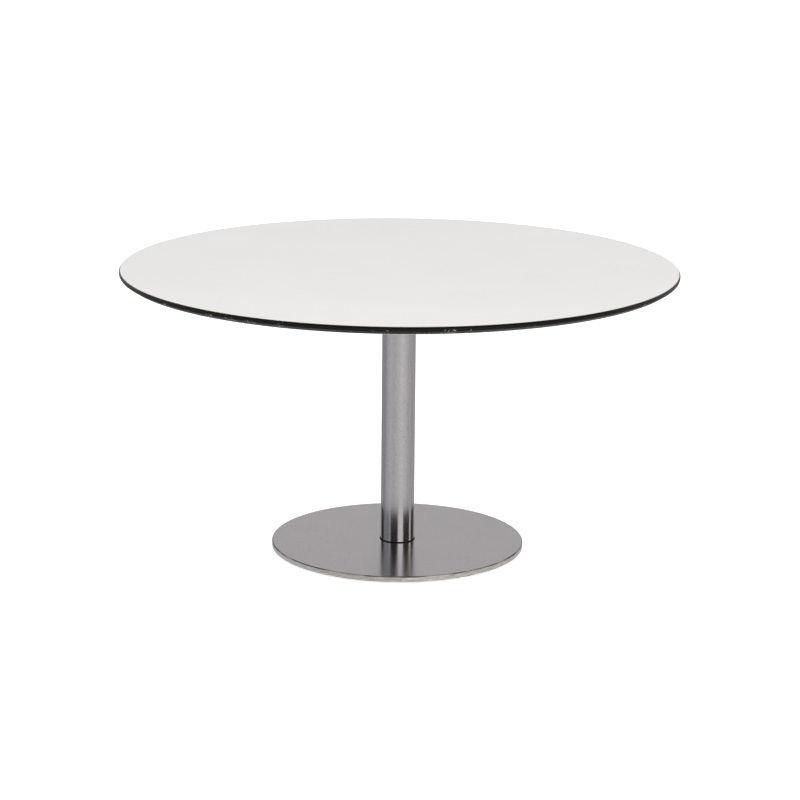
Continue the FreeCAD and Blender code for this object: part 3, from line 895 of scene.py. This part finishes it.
def deep_screen_material():
    """A dark matt screen that only the second and later reflections meet; the first passes through it."""
    finish = Finish("deep_screen", Base_Color=(0.02, 0.02, 0.023, 1), Roughness=0.9)
    tree = finish.tree
    output = tree.nodes["Material Output"]
    clear = tree.nodes.new("ShaderNodeBsdfTransparent")
    either = tree.nodes.new("ShaderNodeMixShader")
    path = tree.nodes.new("ShaderNodeLightPath")
    finish.wire(finish.math("GREATER_THAN", path.outputs["Ray Depth"], 1.5), either.inputs[0])
    finish.wire(clear.outputs[0], either.inputs[1])
    finish.wire(finish.shader.outputs[0], either.inputs[2])
    finish.wire(either.outputs[0], output.inputs["Surface"])
    return finish.material


def build_screens():
    """What gloss reflects: a deep screen round the front, a dark ceiling and a pale card over the floor."""
    dark = Finish("dark_screen", Base_Color=(0.02, 0.02, 0.023, 1), Roughness=0.9).material
    ceiling_height = 6
    screen = swept("deep_screen", -140, 140, (7.5, 0), (7.5, ceiling_height))
    seen_in_gloss_only(paint(screen, deep_screen_material()))
    ceiling = swept("dark_ceiling", -120, 120, (7, ceiling_height), (0, ceiling_height))
    seen_in_gloss_only(paint(ceiling, dark))
    cool, neutral, warm = (0.95, 0.96, 1.0), (1.0, 0.995, 0.985), (1.0, 0.985, 0.975)
    card = glow_material("floor_card", [
        (-150, cool, 0.42), (-115, cool, 0.50), (-85, cool, 0.70), (-52, cool, 0.86), (-30, neutral, 0.78),
        (0, neutral, 0.92), (24, neutral, 1.05), (46, warm, 0.96), (72, warm, 0.76), (90, warm, 0.70),
        (125, warm, 0.60), (160, neutral, 0.58)])
    inner_edge, outer_edge = (BASE_RADIUS + 5 * MM, 0.5 * MM), (5, 0.5 * MM)
    seen_in_gloss_only(paint(swept("floor_card", 0, 360, inner_edge, outer_edge, 144), card))


def build_floor():
    """Pale floor that is lit a little from below, as a light table is."""
    work = bmesh.new()
    reach = 60
    corners = ((-reach, -reach), (reach, -reach), (reach, reach), (-reach, reach))
    work.faces.new([work.verts.new((*corner, 0)) for corner in corners])
    mesh = bpy.data.meshes.new("floor")
    work.to_mesh(mesh)
    work.free()
    floor = link("floor", mesh)
    finish = Finish("floor", Base_Color=(0.92, 0.92, 0.92, 1), Roughness=0.9, Specular_IOR_Level=0.1,
                    Emission_Color=(1, 1, 1, 1), Emission_Strength=0.55)
    paint(floor, finish.material)


def build_world():
    """White surroundings, dimmer towards the horizon."""
    world = bpy.data.worlds.new("studio")
    world.use_nodes = True
    tree = world.node_tree
    coordinates = tree.nodes.new("ShaderNodeTexCoord")
    parts = tree.nodes.new("ShaderNodeSeparateXYZ")
    height = tree.nodes.new("ShaderNodeMapRange")
    height.inputs["From Min"].default_value = 0.15
    height.inputs["From Max"].default_value = 0.8
    height.inputs["To Min"].default_value = 0.60
    height.inputs["To Max"].default_value = 1.0
    background = tree.nodes["Background"]
    background.inputs["Color"].default_value = (1.0, 0.975, 0.99, 1)
    tree.links.new(coordinates.outputs["Generated"], parts.inputs[0])
    tree.links.new(parts.outputs["Z"], height.inputs["Value"])
    tree.links.new(height.outputs[0], background.inputs["Strength"])
    bpy.context.scene.world = world


def build_light():
    """Soft panels round the table.  The last two are fill that gloss doesn't reflect."""
    panel("key", angle=22, distance=6.0, centre_height=2.0, width=3.8, height=2.0,
          colour=(1.0, 0.99, 0.975), radiance=2.5)
    panel("warm_strip", angle=97, distance=6.0, centre_height=1.8, width=1.5, height=2.6,
          colour=(1.0, 0.93, 0.84), radiance=2.0)
    panel("cool_wall", angle=-84, distance=6.0, centre_height=1.8, width=5.2, height=2.6,
          colour=(0.92, 0.96, 1.0), radiance=0.65)
    panel("cool_edge", angle=-54, distance=6.0, centre_height=1.8, width=1.3, height=2.6,
          colour=(0.92, 0.96, 1.0), radiance=1.1)
    front = panel("front_fill", angle=0, distance=1.25, centre_height=1.15, width=2.0, height=0.4,
                  colour=(1.0, 1.0, 1.0), radiance=1.05)
    overhead = panel("overhead", angle=0, distance=0.2, centre_height=4.0, width=5.0, height=5.0,
                     colour=(1.0, 1.0, 1.0), radiance=0.25)
    overhead.rotation_euler = (0, 0, 0)
    for lamp in (front, overhead):
        lamp.visible_glossy = False


def build_camera():
    """Long lens about four metres from the top's near edge, looking down at the table."""
    data = bpy.data.cameras.new("camera")
    data.sensor_width = 36
    data.lens = 116.0
    data.clip_end = 200
    camera = bpy.data.objects.new("camera", data)
    bpy.context.scene.collection.objects.link(camera)
    camera.location = (0, -4.439, 1.3846)
    look_down, look_aside, roll = 0.2462, -0.0006, 0.0094
    tilted = Matrix.Rotation(math.pi / 2 - look_down, 4, "X")
    aside = Matrix.Rotation(look_aside, 4, "Z")
    rolled = Matrix.Rotation(roll, 4, "Z")
    camera.rotation_euler = (aside @ tilted @ rolled).to_euler()
    bpy.context.scene.camera = camera
    bpy.context.scene.view_settings.view_transform = "Standard"


def main():
    """Make the materials, the pieces and the studio."""
    look = {
        "white_laminate": white_laminate(),
        "backing_sheet": backing_sheet(),
        "black_core": black_core(),
        "column_steel": satin_steel("column_steel", (1, 1, 0.05), (0.425, 0.41, 0.42), (0.17, 0.22), 0.5),
        "disc_steel": satin_steel("disc_steel", (0.15, 1, 1), (0.425, 0.412, 0.418), (0.16, 0.21), 0.25),
        "ground_rim": ground_rim(),
        "black_rubber": black_rubber(),
        "black_steel": black_steel(),
        "plain_steel": turned_steel("plain_steel", (0.42, 0.42, 0.43)),
        "fastener_steel": turned_steel("fastener_steel", (0.52, 0.52, 0.49)),
        "brass": turned_steel("brass", (0.70, 0.50, 0.20)),
        "pad_plastic": moulded_plastic(),
    }
    build_top(look)
    build_column(look)
    build_base(look)
    build_screws(look)
    build_rod(look)
    build_spider(look)
    build_feet(look)
    dress_hidden(look)
    build_floor()
    build_world()
    build_screens()
    build_light()
    build_camera()


main()
